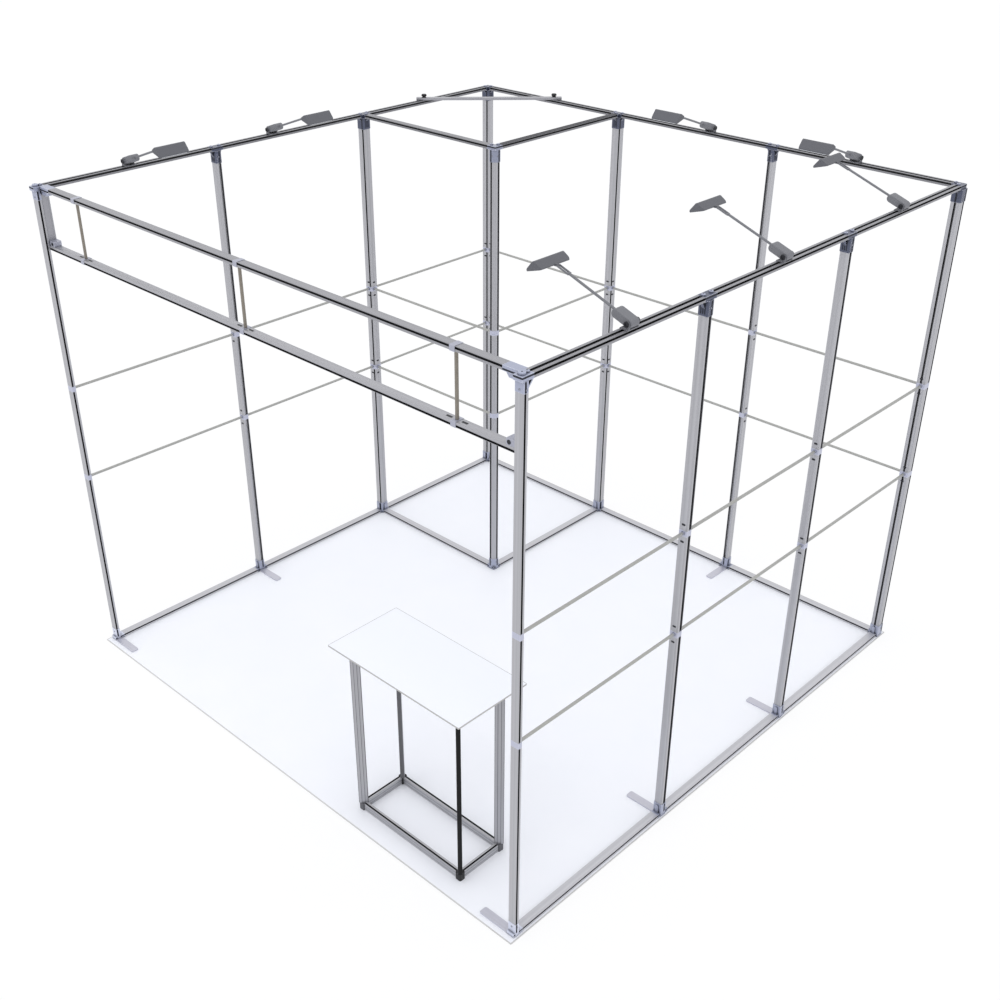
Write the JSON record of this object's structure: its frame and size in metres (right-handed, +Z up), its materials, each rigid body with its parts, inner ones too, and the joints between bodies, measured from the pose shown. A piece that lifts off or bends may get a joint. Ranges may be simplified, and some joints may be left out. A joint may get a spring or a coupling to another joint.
{
  "type": "modular exhibition stand",
  "caption": "Bare aluminium frame of a modular exhibition stand with a storeroom corner, an open front under a header, arm floodlights and a small counter",
  "frame": {"origin": "on the ground under the middle of the post grid and of the floor sheet", "axes": "+Z up, the open front with the header faces -Y, the storeroom is at the back left"},
  "size_m": [3.1037, 3.085, 2.7076],
  "materials": {
    "anodised_aluminium": "satin natural anodised extrusion",
    "grey_blue_casting": "moulded connector in blue-tinged grey",
    "grey_tube": "plain drawn tube",
    "grey_plate": "flat plate, satin",
    "plated_steel": "bright zinc plating",
    "grey_lamp_metal": "dark grey powder coat on castings and tube",
    "black_plastic": "black moulded",
    "white_board": "white laminated board",
    "white_sheet": "matt white floor sheet"
  },
  "bodies": {
    "stand": {"back_base_rails": "anodised_aluminium", "back_brace_rails": "grey_tube", "back_top_rails": "anodised_aluminium", "base_connectors": "grey_blue_casting", "connector_screws": "plated_steel", "corner_tie_bar": "anodised_aluminium", "counter_corner_blocks": "black_plastic", "counter_posts": "anodised_aluminium", "counter_rails": "anodised_aluminium", "counter_top": "white_board", "floor_sheet": "white_sheet", "foot_plates": "grey_plate", "header_clips": "grey_blue_casting", "header_locks": "plated_steel", "header_lower_beam": "anodised_aluminium", "header_struts": "grey_tube", "header_top_beam": "anodised_aluminium", "header_uprights": "anodised_aluminium", "lamp_clamps": "grey_lamp_metal", "lamp_pivot_pins": "plated_steel", "left_base_rails": "anodised_aluminium", "left_brace_rails": "grey_tube", "left_top_rails": "anodised_aluminium", "lock_caps": "grey_blue_casting", "post_back_left": "anodised_aluminium", "post_back_middle": "anodised_aluminium", "post_back_right": "anodised_aluminium", "post_back_storeroom": "anodised_aluminium", "post_front_left": "anodised_aluminium", "post_front_right": "anodised_aluminium", "post_joiners": "grey_blue_casting", "post_left_middle": "anodised_aluminium", "post_left_storeroom": "anodised_aluminium", "post_right_middle": "anodised_aluminium", "post_right_rear": "anodised_aluminium", "post_storeroom_corner": "anodised_aluminium", "right_base_rails": "anodised_aluminium", "right_brace_rails": "grey_tube", "right_top_rails": "anodised_aluminium", "storeroom_base_rails": "anodised_aluminium", "storeroom_brace_rails": "grey_tube", "storeroom_top_rails": "anodised_aluminium", "top_connectors": "grey_blue_casting"},
    "lamp_back_middle_arm": {"lamp_back_middle_arm": "grey_lamp_metal"},
    "lamp_back_middle_head": {"lamp_back_middle_head": "grey_lamp_metal"},
    "lamp_back_right_arm": {"lamp_back_right_arm": "grey_lamp_metal"},
    "lamp_back_right_head": {"lamp_back_right_head": "grey_lamp_metal"},
    "lamp_left_front_arm": {"lamp_left_front_arm": "grey_lamp_metal"},
    "lamp_left_front_head": {"lamp_left_front_head": "grey_lamp_metal"},
    "lamp_left_middle_arm": {"lamp_left_middle_arm": "grey_lamp_metal"},
    "lamp_left_middle_head": {"lamp_left_middle_head": "grey_lamp_metal"},
    "lamp_right_front_arm": {"lamp_right_front_arm": "grey_lamp_metal"},
    "lamp_right_front_head": {"lamp_right_front_head": "grey_lamp_metal"},
    "lamp_right_middle_arm": {"lamp_right_middle_arm": "grey_lamp_metal"},
    "lamp_right_middle_head": {"lamp_right_middle_head": "grey_lamp_metal"},
    "lamp_right_rear_arm": {"lamp_right_rear_arm": "grey_lamp_metal"},
    "lamp_right_rear_head": {"lamp_right_rear_head": "grey_lamp_metal"},
    "tie_knob_back": {"tie_knob_back": "black_plastic"},
    "tie_knob_left": {"tie_knob_left": "black_plastic"}
  },
  "joints": [
    {"name": "lamp_left_front_arm_tilt", "type": "hinge", "parent": "stand", "child": "lamp_left_front_arm", "pos_m": [-1.525, -0.995, 2.5655], "axis": [0, -1, 0], "range_deg": [-20, 45]},
    {"name": "lamp_left_front_head_tilt", "type": "hinge", "parent": "lamp_left_front_arm", "child": "lamp_left_front_head", "pos_m": [-1.18848, -0.995, 2.68467], "axis": [0, -1, 0], "range_deg": [-60, 60]},
    {"name": "lamp_left_middle_arm_tilt", "type": "hinge", "parent": "stand", "child": "lamp_left_middle_arm", "pos_m": [-1.525, -0.12935, 2.5655], "axis": [0, -1, 0], "range_deg": [-20, 45]},
    {"name": "lamp_left_middle_head_tilt", "type": "hinge", "parent": "lamp_left_middle_arm", "child": "lamp_left_middle_head", "pos_m": [-1.18848, -0.12935, 2.68467], "axis": [0, -1, 0], "range_deg": [-60, 60]},
    {"name": "lamp_back_middle_arm_tilt", "type": "hinge", "parent": "stand", "child": "lamp_back_middle_arm", "pos_m": [0.10706, 1.5025, 2.5655], "axis": [-1, 0, 0], "range_deg": [-20, 45]},
    {"name": "lamp_back_middle_head_tilt", "type": "hinge", "parent": "lamp_back_middle_arm", "child": "lamp_back_middle_head", "pos_m": [0.10706, 1.16598, 2.68467], "axis": [-1, 0, 0], "range_deg": [-60, 60]},
    {"name": "lamp_back_right_arm_tilt", "type": "hinge", "parent": "stand", "child": "lamp_back_right_arm", "pos_m": [0.96556, 1.5025, 2.5655], "axis": [-1, 0, 0], "range_deg": [-20, 45]},
    {"name": "lamp_back_right_head_tilt", "type": "hinge", "parent": "lamp_back_right_arm", "child": "lamp_back_right_head", "pos_m": [0.96556, 1.16598, 2.68467], "axis": [-1, 0, 0], "range_deg": [-60, 60]},
    {"name": "lamp_right_front_arm_tilt", "type": "hinge", "parent": "stand", "child": "lamp_right_front_arm", "pos_m": [1.525, -0.95122, 2.5655], "axis": [0, 1, 0], "range_deg": [-20, 45]},
    {"name": "lamp_right_front_head_tilt", "type": "hinge", "parent": "lamp_right_front_arm", "child": "lamp_right_front_head", "pos_m": [1.18848, -0.95122, 2.68467], "axis": [0, 1, 0], "range_deg": [-60, 60]},
    {"name": "lamp_right_middle_arm_tilt", "type": "hinge", "parent": "stand", "child": "lamp_right_middle_arm", "pos_m": [1.525, 0.01194, 2.5655], "axis": [0, 1, 0], "range_deg": [-20, 45]},
    {"name": "lamp_right_middle_head_tilt", "type": "hinge", "parent": "lamp_right_middle_arm", "child": "lamp_right_middle_head", "pos_m": [1.18848, 0.01194, 2.68467], "axis": [0, 1, 0], "range_deg": [-60, 60]},
    {"name": "lamp_right_rear_arm_tilt", "type": "hinge", "parent": "stand", "child": "lamp_right_rear_arm", "pos_m": [1.525, 0.93331, 2.5655], "axis": [0, 1, 0], "range_deg": [-20, 45]},
    {"name": "lamp_right_rear_head_tilt", "type": "hinge", "parent": "lamp_right_rear_arm", "child": "lamp_right_rear_head", "pos_m": [1.18848, 0.93331, 2.68467], "axis": [0, 1, 0], "range_deg": [-60, 60]},
    {"name": "tie_knob_left_turn", "type": "hinge", "parent": "stand", "child": "tie_knob_left", "pos_m": [-1.515, 0.9625, 2.5583], "axis": [0, 0, 1], "continuous": true},
    {"name": "tie_knob_back_turn", "type": "hinge", "parent": "stand", "child": "tie_knob_back", "pos_m": [-0.985, 1.4925, 2.5583], "axis": [0, 0, 1], "continuous": true}
  ]
}
